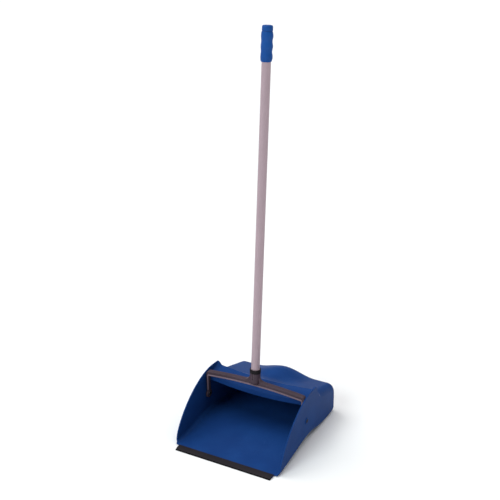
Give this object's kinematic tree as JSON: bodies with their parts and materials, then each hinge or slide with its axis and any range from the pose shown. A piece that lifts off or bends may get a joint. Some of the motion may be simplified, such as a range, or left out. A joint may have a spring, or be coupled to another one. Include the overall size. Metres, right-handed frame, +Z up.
{
  "type": "long-handled dustpan",
  "caption": "Upright lobby dustpan: a hooded plastic pan with a grey lip and rubber edge, and a tube handle on a forked yoke that swings on two side pins.",
  "frame": {"origin": "on the floor under the middle of the pan's plan box", "axes": "+Z up, -Y towards the mouth and lip, +X to the right seen from the mouth"},
  "size_m": [0.2972, 0.358, 1.0278],
  "materials": {
    "pan_plastic": "moulded blue polypropylene, satin gloss",
    "lip_plastic": "dark warm grey, satin",
    "edge_rubber": "matt black",
    "yoke_plastic": "dark brownish grey, satin",
    "zinc_steel": "zinc-plated steel",
    "tube_aluminium": "satin anodised",
    "grip_plastic": "moulded blue plastic, satin"
  },
  "bodies": {
    "pan": {"pan_shell": "pan_plastic", "lip_holder": "lip_plastic", "rubber_blade": "edge_rubber"},
    "handle": {"yoke": "yoke_plastic", "socket_collar": "yoke_plastic", "tube_plug": "yoke_plastic", "tube_screw": "zinc_steel", "pivot_pin_left": "yoke_plastic", "pivot_pin_right": "yoke_plastic", "pivot_clip_left": "zinc_steel", "pivot_clip_right": "zinc_steel", "handle_tube": "tube_aluminium", "grip_sleeve": "grip_plastic", "grip_end_cap": "grip_plastic"}
  },
  "joints": [
    {"name": "handle_pivot", "type": "hinge", "parent": "pan", "child": "handle", "pos_m": [0, -0.004, 0.071], "axis": [1, 0, 0], "range_deg": [0, 105]}
  ]
}
